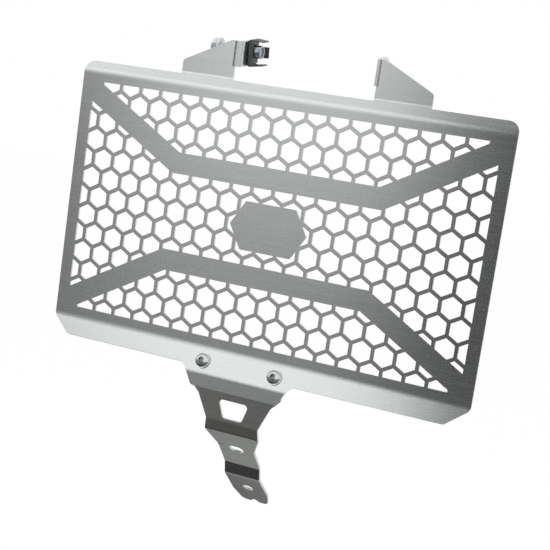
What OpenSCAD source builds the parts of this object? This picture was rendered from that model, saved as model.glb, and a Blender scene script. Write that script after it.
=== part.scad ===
// Motorcycle radiator guard, in millimetres.
// One folded honeycomb sheet, a stepped bracket bolted under its lower flange,
// and a clip nut with its bolt on the left ear.
// X runs to the right, Y back towards the radiator, Z up.
// The origin is the centre of the hole in the bracket's foot, in the middle of the plate.

/* [Panel] */
// Width of the guard
panel_w = 300; // [280:1:330]
// Height of the flat face, from fold to fold
panel_h = 169.8; // [150:0.1:190]
// Thickness of the guard sheet
sheet_t = 1.5; // [1:0.1:2]
// Inner radius of the two long folds
fold_r = 9.5; // [6:0.5:12]
// Angle of both flanges away from the face
flange_tilt = 21; // [14:1:28]
// Width of the upper flange, beyond its fold
top_flange_w = 7.1; // [6:0.1:9]
// Width of the lower flange, beyond its fold
low_flange_w = 13; // [11:0.1:15]
// Corner radius at the ends of the upper flange
top_corner_r = 7.2; // [4:0.1:8]
// Length that the lower flange loses at each end
low_chamfer = 14.8; // [8:0.1:22]
// Corner radius at the ends of the lower flange
low_corner_r = 5; // [2:0.5:6]

/* [Honeycomb] */
// Distance between the centres of neighbouring cells
cell_pitch = 15; // [12:0.5:18]
// Width of the web between two cells
cell_web = 2.5; // [2:0.1:4]
// Plain margin between the cells and each side edge
side_margin = 8.4; // [6:0.1:20]
// Plain margin between the cells and each fold
fold_margin = 7; // [5:0.5:12]
// Width of the two plain bands that cross the cells
band_w = 14; // [10:0.5:18]
// Height of each band's middle stretch above or below the centre
band_z = 32.6; // [28:0.1:40]
// Distance from the centre at which each band turns outwards
band_knee = 72; // [60:1:80]
// Slope of the bands' outer stretches
band_slope = 30; // [24:1:36]
// Length of the plain plate in the middle
plate_l = 54; // [40:1:70]
// Height of the plain plate in the middle
plate_h = 32; // [16:1:36]
// Narrowest part of a cell that is still cut
min_cut = 2.5; // [1:0.1:4]

/* [Upper tabs] */
// How far the middle between the two tabs lies right of the panel's middle
tabs_x = 8.2; // [-10:0.1:20]
// Distance between the outer faces of the two ears
ear_gap = 91; // [80:0.1:110]
// Width of each tab, from its ear's outer face to its far side
tab_w = 40.6; // [38:0.1:50]
// Height of each tab above the upper flange's edge
tab_h = 25.6; // [23:0.1:34]
// Height of a tab's low side above the upper flange's edge
tab_low_h = 9; // [7:0.1:11]
// Slope of a tab's upper edge
tab_slope = 26.5; // [24:0.1:28]
// Height above the flange's edge at which the ear begins
ear_low_h = 9; // [7:0.1:10]
// Inner radius of the ear's fold
ear_fold_r = 4; // [3:0.1:5]
// Width of the relief between the tab's side and the ear's outer face
ear_relief = 3.2; // [2:0.1:4]
// Length of the ear behind its tab
ear_l = 25.6; // [24:0.1:30]
// Angle at which the ears climb towards the back
ear_rise = 9; // [0:1:12]
// Corner radius at the far end of each ear
ear_corner_r = 6; // [3:0.5:7]
// Radius of the hole in each ear
ear_hole_r = 3.3; // [3.2:0.05:3.8]
// Distance from the front of the tab to the ear's hole
ear_hole_y = 15.6; // [14.5:0.1:16.5]
// Height of the ear's hole above the ear's lower root
ear_hole_up = 11.6; // [10.5:0.1:12.5]

/* [Tongue] */
// How far the tongue and the bracket lie right of the panel's middle
mount_x = -5.3; // [-20:0.1:20]
// Length of the lower flange at the tongue, from the fold to its bend
tongue_bend = 17.7; // [17:0.1:20]
// Length of the tongue below its bend
tongue_l = 9.3; // [7:0.1:11]
// Width of the tongue at the flange's edge
tongue_root_w = 81; // [76:0.5:90]
// Width of the tongue at its bend
tongue_w = 72; // [69:0.5:75]
// Width of the tongue at its lower edge
tongue_low_w = 62.6; // [54:0.1:66]
// Inner radius of the bends at the tabs and the tongue
bend_r = 4; // [2:0.5:5]

/* [Bracket] */
// Thickness of the bracket plate
bracket_t = 2; // [1.5:0.1:2.5]
// Inner radius of the bracket's bends
bracket_r = 2; // [1:0.1:3]
// Length of the bolted seat under the flange
seat_l = 13.4; // [12.6:0.1:13.8]
// Length of the upright part with the window
upright_l = 31; // [29:0.1:36]
// Length of the heel above the first step
heel_l = 8.1; // [6:0.1:12]
// Length of the first step
step_l = 39.2; // [36:0.1:46]
// Length of the riser between the steps
riser_l = 9.9; // [8:0.1:14]
// Length of the foot with the round hole
foot_l = 42.7; // [38:0.1:50]
// Lean of the upright part towards the back
upright_lean = 6; // [3:1:9]
// Lean of the heel
heel_lean = 12; // [10:1:16]
// Lean of the first step
step_lean = 45; // [38:1:50]
// Lean of the riser
riser_lean = 17; // [10:1:24]
// Lean of the foot
foot_lean = 51; // [44:1:56]
// Width of the bolted seat
seat_w = 66; // [64:0.5:68]
// Width of the upright part below its shoulders
shoulder_w = 52.4; // [48:0.1:56]
// Height from the seat's bend down to the shoulders
shoulder_drop = 14.6; // [13.5:0.1:16]
// Width where the upright part meets the heel
waist_w = 37.8; // [34:0.1:39]
// Width where the heel meets the first step
heel_w = 39.2; // [34:0.1:42]
// Width of the first step's lower half, the riser and the foot
step_w = 26.4; // [20:0.1:30]
// Length over which the first step narrows
step_taper = 17; // [12:0.5:20]
// Width of the foot's end
foot_end_w = 20.6; // [16:0.1:24]
// Length over which the foot narrows
foot_taper = 17; // [8:0.5:20]
// Length of the chamfers at the foot's end
foot_chamfer = 2.5; // [1:0.1:4]
// Upper width of the window
window_w = 22; // [16:0.5:25]
// Lower width of the window
window_low_w = 13.6; // [10:0.1:16]
// Height of the window
window_h = 12.8; // [9:0.1:13]
// Distance from the seat's bend to the window
window_drop = 16; // [15:0.1:17]
// Corner radius of the window
window_r = 2.4; // [1:0.1:3]
// Length of the slot in the first step
slot_l = 10.8; // [8:0.1:13]
// Width of the slot in the first step
slot_w = 7.4; // [5:0.1:7.8]
// Distance from the heel's bend to the slot
slot_drop = 19.3; // [17:0.1:21]
// Radius of the round hole in the foot
foot_hole_r = 4; // [3:0.1:4.5]
// Distance from the riser's bend to the round hole
foot_hole_drop = 18.8; // [16:0.1:22]
// Width of the notch in the foot's end
notch_w = 5; // [3:0.1:6]
// Depth of the notch in the foot's end
notch_d = 3.5; // [2.5:0.1:5]

/* [Bracket fasteners] */
// Distance between the two bracket screws
screw_gap = 52; // [48:0.5:53]
// Distance of the screws from the lower fold
screw_drop = 9.1; // [8.9:0.1:9.3]
// Radius of a screw's shank
screw_r = 2.5; // [2:0.1:2.7]
// Radius of a screw's head
screw_head_r = 4.75; // [4.2:0.05:5]
// Height of a screw's head
screw_head_h = 2.75; // [2.2:0.05:3.2]
// Width of the screw's hexagon socket
screw_key = 3; // [2.5:0.1:3.5]
// Depth of the screw's hexagon socket
screw_key_d = 1.6; // [1:0.1:1.9]
// Radius of the washer
washer_r = 5.4; // [5.1:0.1:5.6]
// Thickness of the washer
washer_t = 1; // [0.8:0.1:1.4]
// Width across the flats of the nut
nut_af = 8; // [7.2:0.1:8.6]
// Height of the nut
nut_h = 4.7; // [4:0.1:5.5]
// Length of thread beyond the nut
thread_out = 1.8; // [1:0.1:4]
// Clearance round a shank in its hole
bolt_clear = 0.25; // [0.1:0.05:0.4]
// Clearance between mating threads
thread_clear = 0.05; // [0.03:0.01:0.1]

/* [Clip nut] */
// Thickness of the clip's spring steel
clip_t = 0.8; // [0.6:0.1:1]
// Inner radius of the clip's bends
clip_r = 0.5; // [0.3:0.1:0.7]
// Height of the clip
clip_h = 18; // [15:0.1:19]
// How far the clip's middle lies below the bolt
clip_drop = 1; // [0:0.1:1.5]
// Length of the clip in front of the bolt
clip_front = 5.8; // [5.7:0.1:6.2]
// Reach of the clip's front lip
lip_l = 3.6; // [2.5:0.1:5]
// Reach of the clip's wings away from the ear
wing_l = 8.8; // [7:0.1:11]
// Inward lean of the wings
wing_lean = 6; // [0:1:8]
// Height of the tab at the clip's back
back_tab_h = 7.3; // [5:0.1:8]
// Gap between that tab and the loops beside it
loop_gap = 0.4; // [0.2:0.1:0.6]
// Length of the clip's rear leg in front of the bolt
rear_front = 6.5; // [5:0.1:8]
// Radius of the threaded barrel
barrel_r = 4.25; // [4:0.05:4.4]
// Length of the threaded barrel
barrel_l = 7.2; // [6:0.1:8]
// Wall of the barrel's rim inside the clip
rim_wall = 0.6; // [0.4:0.1:0.8]
// Radius of the ear bolt's shank
ear_bolt_r = 3; // [2.7:0.05:3.1]
// Length of the ear bolt under its head
ear_bolt_l = 30; // [24:0.5:34]
// Distance from the barrel's end to the tip of the bolt
tip_in = 1.3; // [0.5:0.1:2]
// Width across the flats of the ear bolt's head
ear_head_af = 10; // [9:0.1:11]
// Height of the ear bolt's head
ear_head_h = 4; // [3:0.1:5]
// Radius of the ear bolt's washer
ear_washer_r = 6; // [5.6:0.1:7]
// Thickness of the ear bolt's washer
ear_washer_t = 1.6; // [1:0.1:2]

/* [Hidden] */
// Roundness of small circles and of large ones, and the angle of one step of a rounded corner
small_fn = 48;
large_fn = 120;
arc_step = 5;
// How far a cutting shape runs past what it cuts
past = 1;

// Heights of the folds and of the flanges' edges on the front face, above or below the centre
fold_z = panel_h / 2;
top_edge_z = fold_z + top_flange_w * cos(flange_tilt);
low_edge_z = fold_z + low_flange_w * cos(flange_tilt);
low_tip_z = low_edge_z + sheet_t * sin(flange_tilt);
// A flange is flat from this far beyond its fold's corner
fold_set = (fold_r + sheet_t) * tan(flange_tilt / 2);

// Honeycomb
row_h = cell_pitch * sqrt(3) / 2;
cell_r = (cell_pitch - cell_web) / sqrt(3);
area_w = panel_w - 2 * side_margin;
area_h = panel_h - 2 * fold_margin;

// Tabs and ears: the tabs bend upright a little above the flange's edge
tab_bend_rise = 1.3;
tab_bend = top_flange_w + tab_bend_rise;
tab_y = tab_bend * sin(flange_tilt);
tab_top_z = top_edge_z + tab_h;
tab_low_z = top_edge_z + tab_low_h;
tab_low_r = 3;
tab_top_r = 3.5;
ear_low_z = top_edge_z + ear_low_h;
ear_bend_r = ear_fold_r + sheet_t;
ear_x = ear_gap / 2;
ear_axis_y = tab_y + ear_hole_y;
ear_axis_z = ear_low_z + ear_hole_up;
// Distance from the hole's axis to the ear's far edge, along the ear
ear_far = ear_l - (ear_hole_y - sheet_t) * cos(ear_rise) - ear_hole_up * sin(ear_rise);

// Tongue
tongue_bend_z = fold_z + tongue_bend * cos(flange_tilt);
tongue_low_z = tongue_bend_z + tongue_l;
tongue_low_r = 3;
tongue_side_r = 8;

// The bracket's runs from its seat to its foot, with the lean of each
bracket_runs = [seat_l, upright_l, heel_l, step_l, riser_l, foot_l];
bracket_leans = [-flange_tilt, upright_lean, heel_lean, step_lean, riser_lean, foot_lean];
bracket_bends = [for (i = [1:5]) bracket_leans[i] - bracket_leans[i - 1]];
bracket_corner_r = 3;
// Its seat ends before the tongue's bend, so that the two plates part there
seat_clear = 1.4;
seat_end = tongue_bend - seat_clear;
seat_start = seat_end - seat_l;
function total(list, n) = n < 0 ? 0 : list[n] + total(list, n - 1);
// Corner n lies at the top of run n, on the front face
function corner_y(n) = sheet_t * cos(flange_tilt) - seat_start * sin(flange_tilt)
    + total([for (i = [0:5]) bracket_runs[i] * sin(bracket_leans[i])], n - 1);
function corner_z(n) = -fold_z - sheet_t * sin(flange_tilt) - seat_start * cos(flange_tilt)
    - total([for (i = [0:5]) bracket_runs[i] * cos(bracket_leans[i])], n - 1);
foot_hole_y = corner_y(5) + foot_hole_drop * sin(foot_lean) + bracket_t / 2 * cos(foot_lean);
foot_hole_z = corner_z(5) - foot_hole_drop * cos(foot_lean) + bracket_t / 2 * sin(foot_lean);

// Fasteners
screw_l = washer_t + sheet_t + bracket_t + nut_h + thread_out;
screw_rim_h = 0.5;
screw_flat_h = 0.2;
hole_r = screw_r + bolt_clear;
rim_r = ear_bolt_r + thread_clear + rim_wall;

// Clip and bolt, along the bolt's axis from the ear's outer face
barrel_end = clip_t + barrel_l;
bolt_seat = barrel_end - tip_in - ear_bolt_l;
clip_bend_r = clip_r + clip_t;
// The lip, the loops and the wings end this far short of each other's bends
clip_step = 0.3;
rear_x = -sheet_t - clip_t;
// The clip's loop round the ear's edge is a little tighter than a half circle
loop_r = 0.45 * sheet_t;
loop_out = clip_t + loop_r;
// The wings' front corners are cut away between these shares of their length
wing_cut_near = 0.1;
wing_cut_far = 0.35;

// Moves the panel's centre to its place above the bracket's foot
module placed() { translate([-mount_x, -foot_hole_y, -foot_hole_z]) children(); }

// Shapes drawn as seen from the side and from the front
module across(width) { rotate([90, 0, 90]) linear_extrude(width, center = true) children(); }
module through_front() { rotate([90, 0, 0]) linear_extrude(panel_w, center = true) children(); }

function unit(v) = v / norm(v);
function turn_at(p, q, s) = (q[0] - p[0]) * (s[1] - q[1]) - (q[1] - p[1]) * (s[0] - q[0]);
function mirrored(points) = [for (i = [len(points) - 1:-1:0]) [-points[i][0], points[i][1]]];
function reversed(list) = [for (i = [len(list) - 1:-1:0]) list[i]];

// The points of the arc that rounds the corner at q, on the way from p to s
function rounded_corner(p, q, s, radius) =
    let (u = unit(p - q),
         v = unit(s - q),
         half = acos(u * v) / 2,
         middle = q + unit(u + v) * radius / sin(half),
         arm = q + u * radius / tan(half) - middle,
         turn = (turn_at(p, q, s) > 0 ? 1 : -1) * (180 - 2 * half),
         steps = ceil(abs(turn) / arc_step))
    [for (i = [0:steps]) middle + turned(arm, turn * i / steps)];
function turned(v, angle) = [v[0] * cos(angle) - v[1] * sin(angle), v[0] * sin(angle) + v[1] * cos(angle)];

// Outline with rounded corners, from its points and one radius for each
module outline(points, radii) {
    n = len(points);
    polygon([for (i = [0:n - 1])
        each radii[i] == 0 ? [points[i]]
            : rounded_corner(points[(i + n - 1) % n], points[i], points[(i + 1) % n], radii[i])]);
}

// Outline that is the same on both sides, from the points and radii of its right side
module even_outline(right, radii) { outline(concat(right, mirrored(right)), concat(radii, reversed(radii))); }

// Length that a bend takes from the runs on either side of its corner
function set_back(bend, radius) = radius * tan(abs(bend) / 2);
function lean_of(first, bends, i) = first + total(bends, i - 1);
function along(lean) = [sin(lean), cos(lean)];
function aside(lean) = [cos(lean), -sin(lean)];
function front_corner(runs, bends, first, i) =
    i == 0 ? [0, 0] : front_corner(runs, bends, first, i - 1) + runs[i - 1] * along(lean_of(first, bends, i - 1));
function back_offset(bends, t, first, i) =
    i == 0 ? t * aside(first)
    : i > len(bends) ? t * aside(lean_of(first, bends, i - 1))
    : t / cos(bends[i - 1] / 2) * aside((lean_of(first, bends, i - 1) + lean_of(first, bends, i)) / 2);

// A sheet seen on edge: it runs up from the origin, with its front face on the left.
// Runs are measured from corner to corner of that face, and a positive bend leans it to the right.
module bent_sheet(runs, bends, t, r, first = 0) {
    fronts = [for (i = [0:len(runs)]) front_corner(runs, bends, first, i)];
    backs = [for (i = [0:len(runs)]) fronts[i] + back_offset(bends, t, first, i)];
    front_radii = [0, for (i = [0:len(bends) - 1]) bends[i] > 0 ? r[i] + t : r[i], 0];
    back_radii = [0, for (i = [0:len(bends) - 1]) bends[i] > 0 ? r[i] : r[i] + t, 0];
    outline(concat(backs, reversed(fronts)), concat(back_radii, reversed(front_radii)));
}

// Distance of a point outside the middle line of the band in its quarter
function band_gap(p) =
    let (rise = abs(p[1]) - band_z)
    min(rise, rise * cos(band_slope) - (abs(p[0]) - band_knee) * sin(band_slope));
// Distance of a point outside the plain plate, whose ends are two sides of a hexagon
function plate_gap(p) =
    max(abs(p[1]) - plate_h / 2, (abs(p[0]) - plate_l / 2) * sin(60) + abs(p[1]) * cos(60));
function clamp(v, limit) = max(-limit, min(limit, v));
function cell_corners(x, z) = [for (a = [30:60:330])
    [clamp(x + cell_r * cos(a), area_w / 2), clamp(z + cell_r * sin(a), area_h / 2)]];
function spread(list) = max(list) - min(list);
// Width that is left of a cell outside the band, the plate and the margins
function open_width(x, z) =
    let (corners = cell_corners(x, z), gaps = [for (p = corners) band_gap(p)])
    min(max(max(gaps), -min(gaps)) - band_w / 2,
        max([for (p = corners) plate_gap(p)]),
        spread([for (p = corners) p[0]]),
        spread([for (p = corners) p[1]]));

module band_quarter() {
    half = band_w / 2;
    shift = half * tan(band_slope / 2);
    arm = panel_w / 2 * [cos(band_slope), sin(band_slope)];
    low = [band_knee + shift, band_z - half];
    high = [band_knee - shift, band_z + half];
    polygon([[-past, low[1]], low, low + arm, high + arm, high, [-past, high[1]]]);
}

module middle_plate() {
    side = plate_l / 2 - plate_h / 2 / tan(60);
    right = [[side, -plate_h / 2], [plate_l / 2, 0], [side, plate_h / 2]];
    polygon(concat(right, mirrored(right)));
}

// All the openings of the honeycomb
module honeycomb() {
    rows = ceil(area_h / 2 / row_h);
    columns = ceil(area_w / 2 / cell_pitch) + 1;
    difference() {
        intersection() {
            square([area_w, area_h], center = true);
            for (row = [-rows:rows], column = [-columns:columns]) {
                x = (column + (row % 2 == 0 ? 0.5 : 0)) * cell_pitch;
                z = row * row_h;
                if (open_width(x, z) >= min_cut) translate([x, z]) rotate(30) circle(cell_r, $fn = 6);
            }
        }
        for (mx = [0, 1], mz = [0, 1]) mirror([mx, 0]) mirror([0, mz]) band_quarter();
        middle_plate();
    }
}

// The face with both flanges, as cut from one blank
module face_and_flanges() {
    half = panel_w / 2;
    right = [[half - low_chamfer, -low_tip_z], [half, -fold_z - fold_set / 2], [half, top_edge_z]];
    intersection() {
        across(panel_w + 2 * past) translate([-low_flange_w * sin(flange_tilt), -low_edge_z])
            bent_sheet([low_flange_w, panel_h, top_flange_w], [-flange_tilt, flange_tilt],
                       sheet_t, [fold_r, fold_r], flange_tilt);
        through_front() even_outline(right, [low_corner_r, low_corner_r, top_corner_r]);
    }
}

// One upper tab with its ear, drawn for the right side from the middle between the ears
module tab() {
    side = ear_x + tab_w;
    inner = ear_x + ear_relief;
    bend_end = ear_x + ear_bend_r;
    root_z = fold_z + fold_set;
    slope_end = side - (tab_top_z - tab_low_z) / tan(tab_slope);
    intersection() {
        across(4 * side) bent_sheet([fold_z, tab_bend, 2 * tab_h], [flange_tilt, -flange_tilt],
                                    sheet_t, [fold_r, bend_r]);
        through_front() difference() {
            outline([[inner, root_z], [side, root_z], [side, tab_low_z],
                     [slope_end, tab_top_z], [inner, tab_top_z]], [0, 0, tab_low_r, tab_top_r, 0]);
            translate([inner - past, ear_low_z]) square([bend_end - inner + past, tab_h]);
        }
    }
    ear();
}

// The ear is turned back from the tab's inner side and climbs towards the back
module ear() {
    climb = [cos(ear_rise), sin(ear_rise)];
    height = tab_top_z - ear_low_z;
    low = [tab_y + sheet_t, ear_low_z];
    high = [tab_y + sheet_t, tab_top_z];
    difference() {
        intersection() {
            translate([ear_x + ear_bend_r + past, tab_y + sheet_t, ear_low_z]) linear_extrude(2 * height)
                mirror([1, 0]) bent_sheet([ear_bend_r + past - sheet_t, 2 * ear_l], [-90], sheet_t, [ear_fold_r], 90);
            across(4 * (ear_x + tab_w)) outline(
                [[tab_y - past, ear_low_z], low, low + climb * ear_l,
                 high + climb * (ear_l - height * sin(ear_rise)), high, [tab_y - past, tab_top_z]],
                [0, 0, ear_corner_r, ear_corner_r, 0, 0]);
        }
        translate([ear_x - past, ear_axis_y, ear_axis_z]) rotate([0, 90, 0])
            cylinder(r = ear_hole_r, h = sheet_t + 2 * past, $fn = small_fn);
    }
}

// The tongue runs on from the lower flange and bends down over the bracket
module tongue() {
    right = [[tongue_low_w / 2, -tongue_low_z], [tongue_w / 2, -tongue_bend_z],
             [tongue_root_w / 2, -low_edge_z], [tongue_root_w / 2, -fold_z - fold_set]];
    translate([mount_x, 0, 0]) intersection() {
        across(panel_w) mirror([0, 1])
            bent_sheet([fold_z, tongue_bend, tongue_l], [-flange_tilt, flange_tilt], sheet_t, [fold_r, bend_r]);
        through_front() even_outline(right, [tongue_low_r, tongue_side_r, 0, 0]);
    }
}

// Places what is drawn about a bracket screw's axis: Z = 0 is the flange's front face
module at_screw(side) {
    translate([mount_x + side * screw_gap / 2, -screw_drop * sin(flange_tilt),
               -fold_z - screw_drop * cos(flange_tilt)])
        rotate([90 - flange_tilt, 0, 0]) children();
}

module screw_holes() {
    depth = sheet_t + bracket_t;
    for (side = [-1, 1]) at_screw(side) translate([0, 0, -depth - past])
        cylinder(r = hole_r, h = depth + 2 * past, $fn = small_fn);
}

module guard_panel() {
    color("silver") placed() difference() {
        union() {
            face_and_flanges();
            for (side = [0, 1]) translate([tabs_x, 0, 0]) mirror([side, 0, 0]) tab();
            tongue();
        }
        through_front() honeycomb();
        screw_holes();
    }
}

// Places what is drawn on a run of the bracket: Y goes down the run, and Z = 0 is its front face
module on_run(n) {
    translate([mount_x, corner_y(n), corner_z(n)]) rotate([bracket_leans[n] - 90, 0, 0])
        translate([0, 0, -bracket_t]) linear_extrude(3 * bracket_t) children();
}

module bracket_blank() {
    shoulder_z = corner_z(1) - shoulder_drop;
    flare = (seat_w - shoulder_w) / 2;
    right = [[step_w / 2, corner_z(6) - foot_l],
             [step_w / 2, corner_z(3) - step_taper * cos(step_lean)],
             [heel_w / 2, corner_z(3)],
             [waist_w / 2, corner_z(2)],
             [shoulder_w / 2, shoulder_z],
             [seat_w / 2, shoulder_z + flare],
             [seat_w / 2, corner_z(0)]];
    r = bracket_corner_r;
    translate([mount_x, 0, 0]) intersection() {
        across(panel_w) mirror([0, 1]) translate([corner_y(0), -corner_z(0)])
            bent_sheet(bracket_runs, bracket_bends, bracket_t, [for (b = bracket_bends) bracket_r], -flange_tilt);
        through_front() even_outline(right, [0, 2 * r, r, r, r, r, r]);
    }
}

module window() {
    right = [[window_w / 2, window_drop], [window_low_w / 2, window_drop + window_h]];
    outline(reversed(concat(right, mirrored(right))), [window_r, window_r, window_r, window_r]);
}

// The foot's corners are cut away on a taper and a short chamfer
module foot_trim() {
    wide = step_w / 2;
    end = foot_end_w / 2;
    slope = (wide - end) / (foot_taper - foot_chamfer);
    for (side = [0, 1]) mirror([side, 0]) polygon([
        [wide + slope * past, foot_l - foot_taper - past],
        [end, foot_l - foot_chamfer],
        [end - foot_chamfer - past, foot_l + past],
        [wide + 2 * past, foot_l + past],
        [wide + 2 * past, foot_l - foot_taper - past]
    ]);
}

module end_notch() {
    middle = foot_l - notch_d + notch_w / 2;
    translate([-notch_w / 2, middle]) square([notch_w, notch_d]);
    translate([0, middle]) circle(notch_w / 2, $fn = small_fn);
}

module rounded_slot(length, width) {
    straight = length - width;
    square([straight, width], center = true);
    for (side = [-1, 1]) translate([side * straight / 2, 0]) circle(width / 2, $fn = small_fn);
}

module lower_bracket() {
    color("lightgray") placed() difference() {
        bracket_blank();
        screw_holes();
        on_run(1) window();
        on_run(3) translate([0, slot_drop]) rounded_slot(slot_l, slot_w);
        on_run(5) translate([0, foot_hole_drop]) circle(foot_hole_r, $fn = small_fn);
        on_run(5) foot_trim();
        on_run(5) end_notch();
    }
}

module ring(outer, inner, height) {
    difference() {
        cylinder(r = outer, h = height, $fn = small_fn);
        translate([0, 0, -past]) cylinder(r = inner, h = height + 2 * past, $fn = small_fn);
    }
}

// Hexagon with its corners turned down at the top, or at both ends
module hexagon(af, height, both) {
    corner = af / 2 / cos(30);
    drop = (corner - af / 2) * tan(30);
    low = both ? drop : 0;
    intersection() {
        cylinder(r = corner, h = height, $fn = 6);
        union() {
            translate([0, 0, height - drop]) cylinder(r1 = corner, r2 = af / 2, h = drop, $fn = small_fn);
            translate([0, 0, low]) cylinder(r = corner, h = height - drop - low, $fn = small_fn);
            if (both) cylinder(r1 = af / 2, r2 = corner, h = drop, $fn = small_fn);
        }
    }
}

module bracket_screw(side) {
    crown = screw_head_h + screw_flat_h - screw_rim_h;
    dome_r = (crown * crown + screw_head_r * screw_head_r) / (2 * crown);
    color("gainsboro") placed() at_screw(side) translate([0, 0, washer_t]) difference() {
        union() {
            intersection() {
                cylinder(r = screw_head_r, h = screw_head_h, $fn = small_fn);
                translate([0, 0, screw_rim_h + crown - dome_r]) sphere(dome_r, $fn = large_fn);
            }
            translate([0, 0, -screw_l]) cylinder(r = screw_r, h = screw_l + screw_rim_h, $fn = small_fn);
        }
        translate([0, 0, screw_head_h - screw_key_d])
            cylinder(r = screw_key / 2 / cos(30), h = screw_head_h, $fn = 6);
    }
}

module bracket_washer(side) {
    color("lightgray") placed() at_screw(side) ring(washer_r, hole_r, washer_t);
}

module bracket_nut(side) {
    color("darkgray") placed() at_screw(side) translate([0, 0, -sheet_t - bracket_t - nut_h]) difference() {
        hexagon(nut_af, nut_h, true);
        translate([0, 0, -past]) cylinder(r = screw_r + thread_clear, h = nut_h + 2 * past, $fn = small_fn);
    }
}

// Places what is drawn about the left ear's bolt: X = 0 is the ear's outer face, and Y runs along the ear
module at_ear() {
    translate([tabs_x - ear_x, ear_axis_y, ear_axis_z]) rotate([ear_rise, 0, 0]) children();
}

// Turns what stands on Z to lie along the bolt
module along_bolt() { rotate([0, 90, 0]) children(); }

// The clip from its lip along the ear, round the ear's edge and back, seen from above
module clip_band() {
    back = ear_far + loop_r;
    translate([lip_l, -clip_front]) bent_sheet(
        [lip_l, clip_front + back, sheet_t, rear_front + back],
        [90, -90, -90], clip_t, [clip_r, loop_r, loop_r], -90);
}

// The leg with a wing along each edge, seen from the front
module clip_channel() {
    reach = wing_l / cos(wing_lean);
    bend = 90 + wing_lean;
    translate([wing_l, reach * sin(wing_lean) - clip_h / 2])
        bent_sheet([reach, clip_h, reach], [bend, bend], clip_t, [clip_r, clip_r], -bend);
}

module clip_nut() {
    flat = clip_h / 2 - set_back(90 + wing_lean, clip_bend_r) - clip_step;
    slot_h = back_tab_h + 2 * loop_gap;
    wing_y = clip_bend_r + clip_step - clip_front;
    back_y = ear_far - clip_bend_r - clip_step;
    length = back_y - wing_y;
    color("dimgray") placed() at_ear() difference() {
        translate([0, 0, -clip_drop]) {
            difference() {
                translate([0, 0, -flat]) linear_extrude(2 * flat) clip_band();
                translate([rear_x - past, back_y, -slot_h / 2])
                    cube([clip_t - rear_x + 2 * past, ear_far - back_y + loop_out + past, slot_h]);
            }
            difference() {
                translate([0, back_y, 0]) rotate([90, 0, 0]) linear_extrude(length) clip_channel();
                linear_extrude(2 * clip_h, center = true) polygon([
                    [2 * clip_bend_r, wing_y - past],
                    [wing_l + past, wing_y - past],
                    [wing_l + past, wing_y + wing_cut_far * length],
                    [2 * clip_bend_r, wing_y + wing_cut_near * length]
                ]);
            }
            translate([0, 0, -back_tab_h / 2]) linear_extrude(back_tab_h) bent_sheet(
                [ear_far, wing_l], [90], clip_t, [clip_r]);
        }
        translate([-sheet_t / 2, 0, 0]) along_bolt()
            cylinder(r = rim_r + thread_clear, h = clip_t + sheet_t, $fn = small_fn);
        translate([rear_x - past, 0, 0]) along_bolt()
            cylinder(r = ear_hole_r, h = clip_t + past + sheet_t / 2, $fn = small_fn);
    }
}

module clip_barrel() {
    color("lightsteelblue") placed() at_ear() along_bolt() difference() {
        union() {
            translate([0, 0, clip_t]) cylinder(r = barrel_r, h = barrel_l, $fn = small_fn);
            cylinder(r = rim_r, h = barrel_end / 2, $fn = small_fn);
        }
        translate([0, 0, -past])
            cylinder(r = ear_bolt_r + thread_clear, h = barrel_end + 2 * past, $fn = small_fn);
    }
}

module ear_bolt() {
    color("gainsboro") placed() at_ear() along_bolt() translate([0, 0, bolt_seat]) {
        cylinder(r = ear_bolt_r, h = ear_bolt_l, $fn = small_fn);
        mirror([0, 0, 1]) hexagon(ear_head_af, ear_head_h, false);
    }
}

module ear_washer() {
    color("lightgray") placed() at_ear() along_bolt() translate([0, 0, bolt_seat])
        ring(ear_washer_r, ear_bolt_r + bolt_clear, ear_washer_t);
}

guard_panel();
lower_bracket();
bracket_screw(-1);  // bracket_screw_left
bracket_screw(1);  // bracket_screw_right
bracket_washer(-1);  // bracket_washer_left
bracket_washer(1);  // bracket_washer_right
bracket_nut(-1);  // bracket_nut_left
bracket_nut(1);  // bracket_nut_right
clip_nut();
clip_barrel();
ear_bolt();
ear_washer();
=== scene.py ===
"""Studio picture of a motorcycle radiator guard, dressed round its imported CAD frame.

Most pieces are the frame's own nodes: each gets its finish, and the small ones a slight rounding
of their edges. The two bracket screws and the ear bolt are made anew, with the threads, sockets
and crowns that the CAD model leaves plain. The studio's cards, wall and ground are there for the
steel to mirror. Lengths and places are in metres, and angles in degrees where a field holds them.
"""
import logging
import math
from collections.abc import Callable, Sequence
from dataclasses import dataclass, field
from enum import Enum

import bmesh
import bpy
from mathutils import Matrix, Vector


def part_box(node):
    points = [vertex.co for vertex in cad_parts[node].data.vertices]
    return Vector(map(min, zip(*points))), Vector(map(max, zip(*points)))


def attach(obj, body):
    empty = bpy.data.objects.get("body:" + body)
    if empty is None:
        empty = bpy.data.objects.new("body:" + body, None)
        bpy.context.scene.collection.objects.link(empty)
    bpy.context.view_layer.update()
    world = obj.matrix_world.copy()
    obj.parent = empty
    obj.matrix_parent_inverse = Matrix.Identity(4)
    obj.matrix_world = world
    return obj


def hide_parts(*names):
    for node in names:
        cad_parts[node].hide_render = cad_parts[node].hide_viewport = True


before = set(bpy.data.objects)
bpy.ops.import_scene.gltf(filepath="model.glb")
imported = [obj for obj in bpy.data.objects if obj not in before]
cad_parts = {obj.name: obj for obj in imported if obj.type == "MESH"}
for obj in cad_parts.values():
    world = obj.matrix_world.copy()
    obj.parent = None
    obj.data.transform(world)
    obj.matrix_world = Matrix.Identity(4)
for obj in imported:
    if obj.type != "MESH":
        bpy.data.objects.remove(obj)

LOG = logging.getLogger("radiator_guard")
MM = 0.001
WHITE = (1.0, 1.0, 1.0)
FACE_MIDDLE = (0.005, -0.046, 0.188)
SQUARE = ((-0.5, -0.5, 0.0), (0.5, -0.5, 0.0), (0.5, 0.5, 0.0), (-0.5, 0.5, 0.0))

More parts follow.
